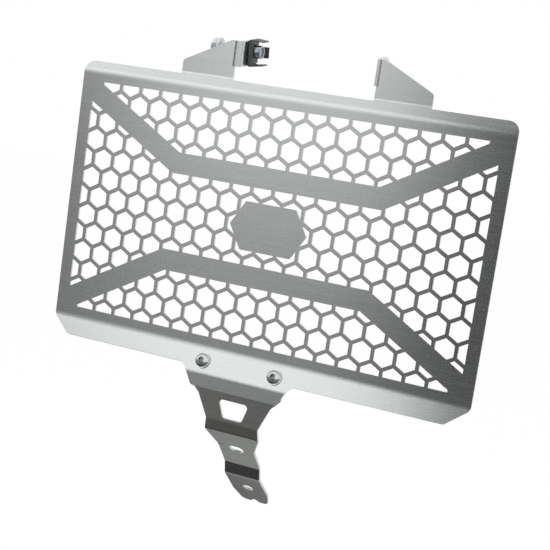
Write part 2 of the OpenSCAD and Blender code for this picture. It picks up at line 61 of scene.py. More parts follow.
Socket = bpy.types.NodeSocket
Colour = tuple[float, float, float]
Place = tuple[float, float, float]
RoundForm = Callable[[float], float] | float


class Side(Enum):
    """The side of the bracket that a screw is on."""

    LEFT = "left"
    RIGHT = "right"


class Slot(Enum):
    """The material slots of a screw or bolt."""

    OUTSIDE = 0
    SOCKET = 1


@dataclass(frozen=True)
class Nodes:
    """Short hand for building the node tree of a material or of the world."""

    owner: bpy.types.Material | bpy.types.World

    def add(self, kind: str, **values: object) -> bpy.types.Node:
        """Adds a node and sets its properties and inputs.

        Args:
            kind: Blender's name of the node type, without its ShaderNode prefix.
            values: Properties or inputs by name, with an input's spaces as underscores.

        Returns:
            The new node.
        """
        node = self.owner.node_tree.nodes.new("ShaderNode" + kind)
        for name, value in values.items():
            if hasattr(node, name):
                setattr(node, name, value)
            else:
                self.feed(node.inputs[name.replace("_", " ")], value)
        return node

    def link(self, source: Socket, target: Socket) -> None:
        """Joins one socket to another."""
        self.owner.node_tree.links.new(source, target)

    def feed(self, target: Socket, value: object) -> None:
        """Links an input to another node's socket, or sets it to a constant.

        Args:
            target: The input.
            value: The socket, number, vector or colour that it gets.
        """
        if isinstance(value, Socket):
            self.link(value, target)
        elif target.type == "RGBA":
            target.default_value = (*value, 1.0)
        else:
            target.default_value = value

    def math(self, operation: str, first: object, second: object = 0.0,
             clamp: bool = False) -> Socket:
        """Adds a sum, product or comparison of two sockets or numbers.

        Args:
            operation: Blender's name of the operation.
            first: The first socket or number.
            second: The second socket or number.
            clamp: Whether the result is held between 0 and 1.

        Returns:
            The socket of the result.
        """
        node = self.add("Math", operation=operation, use_clamp=clamp)
        for target, value in zip(node.inputs, (first, second)):
            self.feed(target, value)
        return node.outputs["Value"]

    def weigh(self, *parts: tuple[Socket, float]) -> Socket:
        """Adds the sum of some sockets, each times its weight.

        Args:
            parts: Pairs of socket and weight.

        Returns:
            The socket of the sum.
        """
        total, *others = [self.math("MULTIPLY", socket, weight) for socket, weight in parts]
        for other in others:
            total = self.math("ADD", total, other)
        return total

    def ramp(self, factor: Socket, stops: Sequence[tuple[float, float]]) -> Socket:
        """Adds a curve of grey values.

        Args:
            factor: The socket that drives it.
            stops: Pairs of place and grey value.

        Returns:
            The socket of the grey value.
        """
        node = self.add("ValToRGB", Fac=factor)
        elements = node.color_ramp.elements
        while len(elements) < len(stops):
            elements.new(1.0)
        for element, (place, grey) in zip(elements, stops):
            element.position = place
            element.color = (grey, grey, grey, 1.0)
        return node.outputs["Color"]

    def stretch(self, factor: Socket, limits: tuple[float, float]) -> Socket:
        """Adds a curve that draws a narrow range of values out to the range from 0 to 1."""
        return self.ramp(factor, ((limits[0], 0.0), (limits[1], 1.0)))

    def noise(self, scale: tuple[float, float, float], detail: float, roughness: float,
              shift: float) -> Socket:
        """Adds noise that may be drawn out along an axis of the frame.

        Args:
            scale: Cycles to the metre along each axis.
            detail: Octaves of finer noise.
            roughness: How strong the finer octaves are.
            shift: Offset that sets one noise apart from another.

        Returns:
            The socket of the noise, from 0 to 1.
        """
        place = self.add("TexCoord").outputs["Object"]
        mapping = self.add("Mapping", Vector=place, Scale=scale, Location=(shift, shift, shift))
        noise = self.add("TexNoise", Vector=mapping.outputs["Vector"], Scale=1.0, Detail=detail,
                         Roughness=roughness)
        return noise.outputs["Fac"]

    def mix(self, factor: Socket, first: object, second: object) -> Socket:
        """Adds a blend of two colours.

        Args:
            factor: The socket that says how much of the second shows.
            first: The first colour or its socket.
            second: The second colour or its socket.

        Returns:
            The socket of the blended colour.
        """
        node = self.add("Mix", data_type="RGBA")
        for target, value in ((0, factor), (6, first), (7, second)):
            self.feed(node.inputs[target], value)
        return node.outputs[2]

    def facing(self) -> list[Socket]:
        """Adds how far a surface faces sideways, front or back, and up or down.

        Returns:
            The three sockets, each from 0 to 1.
        """
        geometry = self.add("NewGeometry")
        normal = self.add("SeparateXYZ", Vector=geometry.outputs["True Normal"])
        return [self.math("ABSOLUTE", normal.outputs[axis]) for axis in "XYZ"]

    def seen_rays(self) -> Socket:
        """Adds a value that is 1 for the camera's, mirrored and refracted rays, and else 0.

        Returns:
            Its socket.
        """
        rays = self.add("LightPath")
        seen = self.math("MAXIMUM", rays.outputs["Is Camera Ray"], rays.outputs["Is Glossy Ray"])
        return self.math("MAXIMUM", seen, rays.outputs["Is Transmission Ray"])

    def blend(self, factor: Socket, first: Socket, second: Socket) -> Socket:
        """Adds a blend of two shaders.

        Args:
            factor: The socket that says how much of the second shows.
            first: The first shader.
            second: The second shader.

        Returns:
            The socket of the blended shader.
        """
        node = self.add("MixShader", Fac=factor)
        self.link(first, node.inputs[1])
        self.link(second, node.inputs[2])
        return node.outputs["Shader"]

    def finish(self, surface: Socket) -> bpy.types.Material | bpy.types.World:
        """Ends the tree with its output.

        Args:
            surface: The shader's socket.

        Returns:
            The finished material or world.
        """
        kind = "OutputWorld" if isinstance(self.owner, bpy.types.World) else "OutputMaterial"
        self.add(kind, Surface=surface)
        return self.owner


def new_material(name: str) -> Nodes:
    """Makes an empty material.

    Args:
        name: Its name.

    Returns:
        The builder of its node tree.
    """
    material = bpy.data.materials.new(name)
    material.use_nodes = True
    material.node_tree.nodes.clear()
    return Nodes(material)


def shade(nodes: Nodes, colour: Socket, roughness: Socket, relief: Socket, depth: float,
          metallic: float = 1.0, anisotropy: float = 0.0) -> bpy.types.Material:
    """Ends a metal's node tree with its shader.

    Args:
        nodes: The builder of the node tree.
        colour: The socket of the colour.
        roughness: The socket of the roughness.
        relief: The socket of the relief's height.
        depth: The relief's height.
        metallic: Share of bare metal, the rest being a dull coat.
        anisotropy: How far the gloss is drawn out up and down, across sideways brushing.

    Returns:
        The finished material.
    """
    bump = nodes.add("Bump", Height=relief, Strength=1.0, Distance=depth)
    shader = nodes.add("BsdfPrincipled", Base_Color=colour, Roughness=roughness,
                       Metallic=metallic, Anisotropic=anisotropy, Normal=bump.outputs["Normal"])
    if anisotropy:
        upward = nodes.add("CombineXYZ", Z=1.0)
        nodes.link(upward.outputs["Vector"], shader.inputs["Tangent"])
    return nodes.finish(shader.outputs["BSDF"])


@dataclass(frozen=True)
class Grain:
    """Even noise of one size.

    Attributes:
        scale: Cycles to the metre.
        detail: Octaves of finer noise.
        shift: Offset that sets it apart from other noise.
        roughness: How strong the finer octaves are.
    """

    scale: float
    detail: float = 3.0
    shift: float = 0.0
    roughness: float = 0.5

    def add_to(self, nodes: Nodes) -> Socket:
        """Adds the noise to a node tree and gives its socket."""
        return nodes.noise((self.scale,) * 3, self.detail, self.roughness, self.shift)


@dataclass(frozen=True)
class Streaks:
    """Sideways brush streaks of one size.

    Attributes:
        length: Length of a streak.
        width: Width of a streak.
        weight: Its weight in the sheet's tone.
        shift: Offset that sets these streaks apart from others.
        detail: Octaves of finer streaks.
        roughness: How strong the finer octaves are.
    """

    length: float
    width: float
    weight: float
    shift: float = 0.0
    detail: float = 3.0
    roughness: float = 0.6

    def add_to(self, nodes: Nodes) -> Socket:
        """Adds the streaks to a node tree and gives their socket."""
        scale = (1.0 / self.length, 1.0 / self.width, 1.0 / self.width)
        return nodes.noise(scale, self.detail, self.roughness, self.shift)


@dataclass(frozen=True)
class GuardEdges:
    """The guard's cut edges, told from its faces by the way that they face.

    The ears are folded square to the rest, so their faces look sideways and their edges up or
    back. Everywhere else the faces look to the front or back.

    Attributes:
        ear_foot: Height above which the ears stand.
        ear_front: Depth behind which the ears stand.
        turned: How far a surface must face a way to count as facing it.
        back_share: How much facing back counts on an ear, against facing up.
    """

    ear_foot: float = 284.5 * MM
    ear_front: float = -42.5 * MM
    turned: float = 0.5
    back_share: float = 0.6

    def mask(self, nodes: Nodes) -> Socket:
        """Adds the mask of the cut edges.

        Args:
            nodes: The builder of the node tree.

        Returns:
            A socket that is 1 on a cut edge and 0 on the sheet's faces.
        """
        _, back, up = nodes.facing()
        geometry = nodes.add("NewGeometry")
        place = nodes.add("SeparateXYZ", Vector=geometry.outputs["Position"])
        high = nodes.math("GREATER_THAN", place.outputs["Z"], self.ear_foot)
        behind = nodes.math("GREATER_THAN", place.outputs["Y"], self.ear_front)
        on_ear = nodes.math("MULTIPLY", high, behind)
        square_on = nodes.math("MAXIMUM", up, nodes.math("MULTIPLY", back, self.back_share))
        ear_edge = nodes.math("GREATER_THAN", square_on, self.turned)
        face_edge = nodes.math("LESS_THAN", back, self.turned)
        off_ear = nodes.math("SUBTRACT", 1.0, on_ear)
        return nodes.math("ADD", nodes.math("MULTIPLY", on_ear, ear_edge),
                          nodes.math("MULTIPLY", off_ear, face_edge))


@dataclass(frozen=True)
class BracketEdges:
    """The bracket's cut edges, told from its stepped faces by the way that they face.

    Attributes:
        sideways: How far a surface faces sideways where it can only be an edge.
        upright: How far a surface faces up or down where it can only be an edge.
    """

    sideways: float = 0.3
    upright: float = 0.95

    def mask(self, nodes: Nodes) -> Socket:
        """Adds the mask of the cut edges.

        Args:
            nodes: The builder of the node tree.

        Returns:
            A socket that is 1 on a cut edge and 0 on the plate's faces.
        """
        side, _, up = nodes.facing()
        return nodes.math("MAXIMUM", nodes.math("GREATER_THAN", side, self.sideways),
                          nodes.math("GREATER_THAN", up, self.upright))


@dataclass(frozen=True)
class BrushedSheet:
    """Stainless sheet, brushed sideways on its faces, with bare laser-cut edges.

    Attributes:
        edges: How its cut edges are found.
        dark: Colour of the darkest streaks.
        bright: Colour of the brightest streaks.
        edge: Colour of the cut edges.
        base_roughness: Roughness of the darkest streaks.
        dulling: Roughness that the brightest streaks add.
        edge_dulling: Roughness that the cut edges add.
        anisotropy: How far the gloss is drawn out across the brushing.
        streaks: The brush streaks, the finest first.
        clouds: The faint clouds over the sheet.
        clouds_weight: The clouds' weight in the sheet's tone.
        tone_limits: The mixed noise that counts as darkest and as brightest.
        fine_relief: The finest streaks' share of the relief, the rest being the next ones'.
        scratch_depth: Depth of the brushing.
    """

    name: str
    edges: GuardEdges | BracketEdges
    dark: Colour = (0.598, 0.625, 0.616)
    bright: Colour = (0.702, 0.730, 0.722)
    edge: Colour = (0.73, 0.74, 0.73)
    base_roughness: float = 0.22
    dulling: float = 0.10
    edge_dulling: float = 0.15
    anisotropy: float = 0.8
    streaks: tuple[Streaks, ...] = (
        Streaks(length=30.0 * MM, width=0.30 * MM, weight=0.52),
        Streaks(length=70.0 * MM, width=0.90 * MM, weight=0.25, shift=3.0),
        Streaks(length=160.0 * MM, width=2.60 * MM, weight=0.10, shift=7.0),
    )
    clouds: Grain = Grain(14.0, shift=11.0)
    clouds_weight: float = 0.13
    tone_limits: tuple[float, float] = (0.34, 0.66)
    fine_relief: float = 0.6
    scratch_depth: float = 0.007 * MM

    def material(self) -> bpy.types.Material:
        """Builds the finish: streaks of three sizes, faint clouds, and plain bright cut edges.

        Returns:
            The material.
        """
        nodes = new_material(self.name)
        streaks = [layer.add_to(nodes) for layer in self.streaks]
        weights = [layer.weight for layer in self.streaks]
        clouds = self.clouds.add_to(nodes)
        mixed = nodes.weigh(*zip(streaks, weights), (clouds, self.clouds_weight))
        sheet_colour = nodes.mix(nodes.stretch(mixed, self.tone_limits), self.dark, self.bright)
        edge = self.edges.mask(nodes)
        colour = nodes.mix(edge, sheet_colour, self.edge)
        gloss = nodes.math("ADD", self.base_roughness, nodes.math("MULTIPLY", mixed, self.dulling))
        roughness = nodes.math("ADD", gloss, nodes.math("MULTIPLY", edge, self.edge_dulling))
        relief = nodes.weigh((streaks[0], self.fine_relief), (streaks[1], 1.0 - self.fine_relief))
        return shade(nodes, colour, roughness, relief, self.scratch_depth,
                     anisotropy=self.anisotropy)


@dataclass(frozen=True)
class MottledMetal:
    """A metal whose tone and gloss vary with clouds over a fine grain.

    Attributes:
        dark: Colour of the darkest patches.
        bright: Colour of the brightest patches.
        base_roughness: Roughness of the darkest patches.
        dulling: Roughness that the brightest patches add.
        grain: The fine grain, which is also the relief.
        grain_depth: Height of the grain.
        clouds: The clouds over it, if any.
        grain_weight: The grain's share of the tone, the rest being the clouds'.
        tone_limits: The mixed noise that counts as darkest and as brightest.
        bare: Share of bare metal, the rest being a dull coat.
    """

    name: str
    dark: Colour
    bright: Colour
    base_roughness: float
    dulling: float
    grain: Grain
    grain_depth: float
    clouds: Grain | None = None
    grain_weight: float = 0.5
    tone_limits: tuple[float, float] = (0.35, 0.65)
    bare: float = 1.0

    def dulled_by(self, mixed: Socket, tone: Socket) -> Socket:
        """Gives what the gloss follows, which is the mixed noise."""
        return mixed

    def material(self) -> bpy.types.Material:
        """Builds the finish.

        Returns:
            The material.
        """
        nodes = new_material(self.name)
        grain = mixed = self.grain.add_to(nodes)
        if self.clouds:
            mixed = nodes.weigh((grain, self.grain_weight),
                                (self.clouds.add_to(nodes), 1.0 - self.grain_weight))
        tone = nodes.stretch(mixed, self.tone_limits)
        colour = nodes.mix(tone, self.dark, self.bright)
        dulled = nodes.math("MULTIPLY", self.dulled_by(mixed, tone), self.dulling)
        roughness = nodes.math("ADD", self.base_roughness, dulled)
        return shade(nodes, colour, roughness, grain, self.grain_depth, metallic=self.bare)


@dataclass(frozen=True)
class MachinedSteel(MottledMetal):
    """Bright stainless of the screws, nuts and washers, with faint tool marks."""

    name: str = "machined_steel"
    dark: Colour = (0.62, 0.63, 0.62)
    bright: Colour = (0.77, 0.78, 0.77)
    base_roughness: float = 0.20
    dulling: float = 0.10
    grain: Grain = Grain(2600.0)
    grain_depth: float = 0.006 * MM
    clouds: Grain = Grain(260.0, detail=2.0, shift=5.0)


@dataclass(frozen=True)
class PhosphatedSteel(MottledMetal):
    """Dark grey spring steel, whose crystals of phosphate are rubbed smoother in patches."""

    name: str = "phosphated_steel"
    dark: Colour = (0.075, 0.079, 0.072)
    bright: Colour = (0.17, 0.176, 0.163)
    base_roughness: float = 0.58
    dulling: float = -0.14
    grain: Grain = Grain(3500.0, detail=4.0, roughness=0.6)
    grain_depth: float = 0.02 * MM
    clouds: Grain = Grain(420.0, shift=9.0)
    grain_weight: float = 0.45
    tone_limits: tuple[float, float] = (0.38, 0.66)
    bare: float = 0.45

    def dulled_by(self, mixed: Socket, tone: Socket) -> Socket:
        """Gives what the gloss follows, which is the tone of the rubbed patches."""
        return tone


@dataclass(frozen=True)
class ZincPlate(MottledMetal):
    """Zinc plate with its faint blue cast and the clouds of its passivated coat."""

    name: str = "zinc_plate"
    dark: Colour = (0.30, 0.34, 0.38)
    bright: Colour = (0.52, 0.56, 0.62)
    base_roughness: float = 0.28
    dulling: float = 0.12
    grain: Grain = Grain(3000.0, detail=2.0)
    grain_depth: float = 0.01 * MM
    clouds: Grain = Grain(330.0, shift=2.0)
    grain_weight: float = 0.0


@dataclass(frozen=True)
class ShadedSocketSteel(MottledMetal):
    """The steel inside a screw's hexagon socket, dark all over as painted shade of the deep recess,
    with a tone that varies in patches.
    """

    name: str = "socket_painted_shade"
    dark: Colour = (0.20, 0.20, 0.20)
    bright: Colour = (0.42, 0.42, 0.415)
    base_roughness: float = 0.27
    dulling: float = 0.15
    grain: Grain = Grain(1500.0, shift=4.0)
    grain_depth: float = 0.01 * MM
    tone_limits: tuple[float, float] = (0.35, 0.70)


@dataclass(frozen=True)
class EdgeRounding:
    """The modifiers that round a CAD node's sharp edges a little.

    Attributes:
        width: Width of the rounding.
        join: Distance under which the facets' corners are one.
        flat: Angle under which neighbouring facets are one face.
        sharp: Angle over which an edge is rounded.
        segments: Facets across the rounding.
    """

    width: float
    join: float = 0.002 * MM
    flat: float = 0.3
    sharp: float = 35.0
    segments: int = 2

    def apply(self, piece: bpy.types.Object) -> None:
        """Adds the modifiers to a piece.

        Args:
            piece: The CAD node.
        """
        joined = piece.modifiers.new("joined_facets", "WELD")
        joined.merge_threshold = self.join
        level = piece.modifiers.new("merged_facets", "DECIMATE")
        level.decimate_type = "DISSOLVE"
        level.angle_limit = math.radians(self.flat)
        rounded = piece.modifiers.new("rounded_edges", "BEVEL")
        rounded.width = self.width
        rounded.segments = self.segments
        rounded.limit_method = "ANGLE"
        rounded.angle_limit = math.radians(self.sharp)
        rounded.use_clamp_overlap = False
        rounded.harden_normals = True


def dress_node(name: str, material: bpy.types.Material,
               rounding: EdgeRounding | None = None) -> None:
    """Gives a CAD node its finish and, where it is asked for, rounded edges.

    Args:
        name: The node's name.
        material: Its finish.
        rounding: How its edges are rounded, if at all.
    """
    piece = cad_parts[name]
    piece.data.materials.clear()
    piece.data.materials.append(material)
    if rounding:
        rounding.apply(piece)
    LOG.info("dressed %s", name)


def middle_of(node: str) -> Vector:
    """Gives the middle of a node's box."""
    low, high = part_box(node)
    return (Vector(low) + Vector(high)) / 2


def hexagon_radius(across_flats: float) -> Callable[[float], float]:
    """Gives a hexagon's radius as a function of the angle from one of its corners."""
    return lambda angle: across_flats / 2 / math.cos((angle % (math.pi / 3)) - math.pi / 6)


@dataclass(frozen=True)
class Thread:
    """A metric thread that rises from the plain shank and fades at its tip.

    Attributes:
        radius: Radius over the crests.
        pitch: Distance between two crests.
        start: Place along the axis where it starts.
        end: Place along the axis where it ends.
        chamfered: Whether the tip is turned down to the thread's root.
        depth: Depth in pitches.
        crest: Width of the flat crest in pitches.
        root: Width of the flat root in pitches.
        tip: Share of the depth that is left at the tip.
        rings_per_turn: Rings of the mesh to a turn of the thread.
    """

    radius: float
    pitch: float
    start: float
    end: float
    chamfered: bool
    depth: float = 0.6
    crest: float = 0.125
    root: float = 0.25
    tip: float = 0.35
    rings_per_turn: int = 10

    def heights(self) -> list[float]:
        """Gives the places of the thread's rings along the axis."""
        count = round(abs(self.end - self.start) / self.pitch * self.rings_per_turn)
        return [self.start + (self.end - self.start) * i / count for i in range(count + 1)]

    def ring(self, height: float, is_last: bool) -> Callable[[float], float]:
        """Gives the form of one of the thread's rings.

        Args:
            height: The ring's place along the axis.
            is_last: Whether it is the last ring, at the tip.

        Returns:
            The radius, as a function of the angle.
        """
        share = min(1.0, abs(height - self.start) / self.pitch,
                    self.tip + abs(height - self.end) / self.pitch)
        turned_down = 1.0 - share if is_last and self.chamfered else 0.0

        def radius_at(angle: float) -> float:
            """Gives the thread's radius.

            Args:
                angle: The angle round the axis.

            Returns:
                The radius over the axis.
            """
            phase = (height / self.pitch - angle / math.tau) % 1.0
            flank = (abs(2.0 * phase - 1.0) - self.crest) / (1.0 - self.crest - self.root)
            cut = min(1.0, max(0.0, flank)) * share + turned_down
            return self.radius - self.depth * self.pitch * cut

        return radius_at


@dataclass
class RingSurface:
    """A closed surface made of rings about an axis, which needn't be round or level.

    Attributes:
        columns: Points of each ring.
        sharp: Angle over which an edge is shaded as sharp.
        rings: The rings so far, as pairs of radius and height.
        slots: The material slot of the band up to each ring.
    """

    columns: int = 48
    sharp: float = 38.0
    rings: list[list[tuple[float, float]]] = field(default_factory=list)
    slots: list[Slot] = field(default_factory=list)

    def angles(self) -> list[float]:
        """Gives the angle of each column."""
        return [math.tau * i / self.columns for i in range(self.columns)]

    def add(self, radius: RoundForm, height: RoundForm, slot: Slot = Slot.OUTSIDE) -> None:
        """Adds a ring.

        Args:
            radius: Its radius, or a function of the angle that gives it.
            height: Its place along the axis, or a function of the angle that gives it.
            slot: The material slot of the band up to this ring.
        """
        self.rings.append([(radius(angle) if callable(radius) else radius,
                            height(angle) if callable(height) else height)
                           for angle in self.angles()])
        self.slots.append(slot)

    def add_thread(self, thread: Thread) -> None:
        """Adds the rings of a thread.

        Args:
            thread: The thread.
        """
        heights = thread.heights()
        for i, height in enumerate(heights):
            self.add(thread.ring(height, i == len(heights) - 1), height)

    def build(self, name: str, seat: Vector, axis: Vector, corner: Vector,
              materials: list[bpy.types.Material]) -> bpy.types.Object:
        """Makes the mesh piece.

        Args:
            name: The piece's name.
            seat: The point of the axis at height 0.
            axis: The axis.
            corner: The direction of angle 0, square to the axis.
            materials: The finish of each slot.

        Returns:
            The new piece.
        """
        across = axis.cross(corner)
        surface = bmesh.new()
        points = []
        for ring in self.rings:
            spots = [seat + axis * height + corner * (radius * math.cos(angle))
                     + across * (radius * math.sin(angle))
                     for angle, (radius, height) in zip(self.angles(), ring)]
            points.append([surface.verts.new(spot) for spot in spots])
        for upper, lower, slot in zip(points, points[1:], self.slots[1:]):
            for i in range(self.columns):
                j = (i + 1) % self.columns
                band = surface.faces.new((upper[i], lower[i], lower[j], upper[j]))
                band.material_index = slot.value
        for end in (0, -1):
            surface.faces.new(points[end]).material_index = self.slots[end].value
        bmesh.ops.recalc_face_normals(surface, faces=surface.faces)
        mesh = bpy.data.meshes.new(name)
        surface.to_mesh(mesh)
        surface.free()
        for material in materials:
            mesh.materials.append(material)
        mesh.shade_smooth()
        mesh.set_sharp_from_angle(angle=math.radians(self.sharp))
        piece = bpy.data.objects.new(name, mesh)
        bpy.context.scene.collection.objects.link(piece)
        return piece


@dataclass
class ButtonScrew:
    """A button head screw of the bracket, with its hexagon socket and its thread.

    Attributes:
        side: The side of the bracket that it is on.
        tilt: How far its axis leans up from level.
        washer: Thickness of its washer.
        radius: Radius of the thread.
        pitch: Pitch of the thread.
        plain: Length of the plain shank under the head.
        length: Length under the head.
        head_radius: Radius of the head.
        head_height: Height of the head.
        rim: Height of the upright rim under the dome.
        flat: Height that the dome would have over its flat top.
        key: Width of the socket across its flats.
        key_depth: Depth of the socket.
        drill_radius: Radius of the drilled cone in the socket's floor.
        drill_depth: Depth of that cone.
        drill_tip: Radius of the cone's blunt tip.
        broken_edge: Width of the edges' breaks.
        dome_rings: Rings of the mesh from the socket to the rim.
        hexagon_share: Share of those rings that still show the socket's hexagon.
    """

    side: Side
    tilt: float = 21.0
    washer: float = 1.0 * MM
    radius: float = 2.5 * MM
    pitch: float = 0.8 * MM
    plain: float = 0.6 * MM
    length: float = 11.0 * MM
    head_radius: float = 4.75 * MM
    head_height: float = 2.74 * MM
    rim: float = 0.5 * MM
    flat: float = 0.2 * MM
    key: float = 3.0 * MM
    key_depth: float = 1.6 * MM
    drill_radius: float = 1.25 * MM
    drill_depth: float = 0.35 * MM
    drill_tip: float = 0.25 * MM
    broken_edge: float = 0.1 * MM
    dome_rings: int = 12
    hexagon_share: float = 0.25

    def dome(self, radius: float) -> float:
        """Gives the height of the head's dome.

        Args:
            radius: Distance from the axis.

        Returns:
            The height over the washer.
        """
        crown = self.head_height + self.flat - self.rim
        ball = (crown ** 2 + self.head_radius ** 2) / (2 * crown)
        rise = math.sqrt(max(0.0, ball ** 2 - radius ** 2)) - ball
        return min(self.head_height, self.rim + crown + rise)

    def dome_radius(self, angle: float, share: float) -> float:
        """Gives the form of the dome's rings, which start as the socket's broken edge.

        Args:
            angle: The angle from a corner of the socket.
            share: How far out the ring lies, from 0 at the socket to 1 at the rim.

        Returns:
            The ring's radius.
        """
        hexagon = hexagon_radius(self.key)
        inner = hexagon(angle) + self.broken_edge
        widest = hexagon(0.0) + self.broken_edge
        circle = widest + (self.head_radius - widest) * share
        roundness = min(1.0, share / self.hexagon_share)
        return inner * (1.0 - roundness) + circle * roundness

    def build(self, steel: bpy.types.Material, socket: bpy.types.Material) -> None:
        """Makes the screw in place of its CAD node.

        Args:
            steel: Finish of the head and the thread.
            socket: Finish of the socket, dark as painted shade of its recess.
        """
        tilt = math.radians(self.tilt)
        axis = Vector((0.0, -math.cos(tilt), math.sin(tilt)))
        seat = middle_of(f"bracket_washer_{self.side.value}") + axis * (self.washer / 2)
        hexagon = hexagon_radius(self.key)
        floor = self.head_height - self.key_depth
        surface = RingSurface()
        # The socket's rings take the darker finish, which is painted shade of the recess.
        surface.add(self.drill_tip, floor - self.drill_depth, Slot.SOCKET)
        surface.add(self.drill_radius, floor, Slot.SOCKET)
        surface.add(hexagon, floor, Slot.SOCKET)
        surface.add(hexagon, lambda a: self.dome(hexagon(a)) - self.broken_edge, Slot.SOCKET)
        for i in range(self.dome_rings + 1):
            share = i / self.dome_rings
            surface.add(lambda a, k=share: self.dome_radius(a, k),
                        lambda a, k=share: self.dome(self.dome_radius(a, k)))
        surface.add(self.head_radius, self.broken_edge)
        surface.add(self.head_radius - self.broken_edge, 0.0)
        surface.add(self.radius + self.broken_edge, 0.0)
        surface.add(self.radius, -self.broken_edge)
        surface.add_thread(Thread(self.radius, self.pitch, -self.plain, -self.length,
                                  chamfered=True))
        piece = surface.build(f"screw_{self.side.value}", seat, axis, Vector((1.0, 0.0, 0.0)),
                              [steel, socket])
        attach(piece, "root")
        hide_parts(f"bracket_screw_{self.side.value}")
        LOG.info("built %s", piece.name)


@dataclass
class EarBolt:
    """The hexagon bolt that the clip nut holds in the left ear.

    Attributes:
        rise: How far the ear leans back from level, which turns the head too.
        radius: Radius of the thread.
        pitch: Pitch of the thread.
        plain: Length of the plain shank under the head.
        runout: Length from the plain shank to the thread.
        head: Width of the head across its flats.
        head_height: Height of the head with its washer face.
        top_share: Radius of the head's flat top, against half its width.
        top_margin: Width of the outermost band of that top.
        crown: Slope of the head's crown.
        face_height: Thickness of the washer face.
        face_shares: Outer and inner radius of the washer face's edge, against half the width.
    """

    rise: float = 9.0
    radius: float = 3.0 * MM
    pitch: float = 1.0 * MM
    plain: float = 1.2 * MM
    runout: float = 0.1 * MM
    head: float = 10.0 * MM
    head_height: float = 4.0 * MM
    top_share: float = 0.98
    top_margin: float = 0.5 * MM
    crown: float = 30.0
    face_height: float = 0.3 * MM
    face_shares: tuple[float, float] = (0.96, 0.95)

    def build(self, steel: bpy.types.Material) -> None:
        """Makes the bolt in place of its CAD node.

        Args:
            steel: Its finish.
        """
        low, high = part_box("ear_bolt")
        centre = middle_of("clip_barrel")
        seat = Vector((low[0] + self.head_height, centre.y, centre.z))
        tip = high[0] - low[0] - self.head_height
        turn = math.radians(self.rise)
        corner = Vector((0.0, math.sin(turn), -math.cos(turn)))
        hexagon = hexagon_radius(self.head)
        top = self.top_share * self.head / 2
        slope = math.tan(math.radians(self.crown))
        outer, inner = [share * self.head / 2 for share in self.face_shares]
        surface = RingSurface()
        surface.add(top - self.top_margin, -self.head_height)
        surface.add(top, -self.head_height)
        surface.add(hexagon, lambda a: (hexagon(a) - top) * slope - self.head_height)
        surface.add(hexagon, -self.face_height)
        surface.add(outer, -self.face_height)
        surface.add(inner, 0.0)
        surface.add(self.radius, 0.0)
        surface.add(self.radius, self.plain)
        surface.add_thread(Thread(self.radius, self.pitch, self.plain + self.runout, tip,
                                  chamfered=False))
        piece = surface.build("clip_bolt", seat, Vector((1.0, 0.0, 0.0)), corner, [steel])
        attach(piece, "root")
        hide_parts("ear_bolt")
        LOG.info("built %s", piece.name)


@dataclass
class GuardSheet:
    """The folded honeycomb sheet with its flanges, tabs, ears and tongue."""

    finish: BrushedSheet = BrushedSheet("brushed_guard_sheet", GuardEdges())

    def build(self) -> None:
        """Dresses the sheet."""
        dress_node("guard_panel", self.finish.material())


@dataclass
class LowerBracket:
    """The stepped bracket under the guard, with the screws, washers and nuts that hold it."""

    finish: BrushedSheet = BrushedSheet(
        "brushed_bracket_plate", BracketEdges(), dark=(0.487, 0.508, 0.480),
        bright=(0.642, 0.664, 0.634), base_roughness=0.15, edge_dulling=0.22)
    plate_rounding: EdgeRounding = EdgeRounding(0.14 * MM)
    fastener_rounding: EdgeRounding = EdgeRounding(0.12 * MM)

    def build(self) -> None:
        """Dresses the bracket, the washers and the nuts, and makes the screws."""
        dress_node("lower_bracket", self.finish.material(), self.plate_rounding)
        steel = MachinedSteel().material()
        # The socket finish is darker steel: painted shade inside the hexagon recess.
        socket = ShadedSocketSteel().material()
        for side in Side:
            ButtonScrew(side).build(steel, socket)
            dress_node(f"bracket_screw_{side.value}", steel)
            for piece in ("washer", "nut"):
                dress_node(f"bracket_{piece}_{side.value}", steel, self.fastener_rounding)


@dataclass
class EarClip:
    """The spring clip of the left ear, with its threaded barrel, its bolt and its washer."""

    spring_finish: PhosphatedSteel = PhosphatedSteel()
    barrel_finish: ZincPlate = ZincPlate()
    bolt_finish: ZincPlate = ZincPlate("pale_zinc_plate", dark=(0.58, 0.60, 0.64),
                                       bright=(0.76, 0.78, 0.82), base_roughness=0.30, bare=0.55)
    rounding: EdgeRounding = EdgeRounding(0.12 * MM)

    def build(self) -> None:
        """Dresses the clip, the barrel and the washer, and makes the bolt."""
        bolt_zinc = self.bolt_finish.material()
        EarBolt().build(bolt_zinc)
        dress_node("ear_bolt", bolt_zinc)
        dress_node("ear_washer", bolt_zinc, self.rounding)
        dress_node("clip_nut", self.spring_finish.material())
        dress_node("clip_barrel", self.barrel_finish.material(), self.rounding)


def mirrored_surface(name: str, points: Sequence[Place], faces: Sequence[tuple[int, ...]],
                     material: bpy.types.Material) -> bpy.types.Object:
    """Makes a surface of the studio that shows only in what the steel mirrors.

    Args:
        name: The surface's name.
        points: Its points.
        faces: Its faces.
        material: Its finish.

    Returns:
        The surface.
    """
    mesh = bpy.data.meshes.new(name)
    mesh.from_pydata(points, [], faces)
    mesh.materials.append(material)
    surface = bpy.data.objects.new(name, mesh)
    bpy.context.scene.collection.objects.link(surface)
    surface.visible_camera = False
    surface.visible_shadow = False
    surface.visible_diffuse = False
    return surface


def veiled_glow(nodes: Nodes, cover: Socket, tone: float) -> bpy.types.Material:
    """Ends a node tree with a grey glow that is clear where it isn't covered.

    Args:
        nodes: The builder of the node tree.
        cover: The socket of the cover, from 0 to 1.
        tone: The grey.

    Returns:
        The finished material.
    """
    clear = nodes.add("BsdfTransparent")
    grey = nodes.add("Emission", Color=(tone, tone, tone), Strength=1.0)
    return nodes.finish(nodes.blend(cover, clear.outputs["BSDF"], grey.outputs["Emission"]))


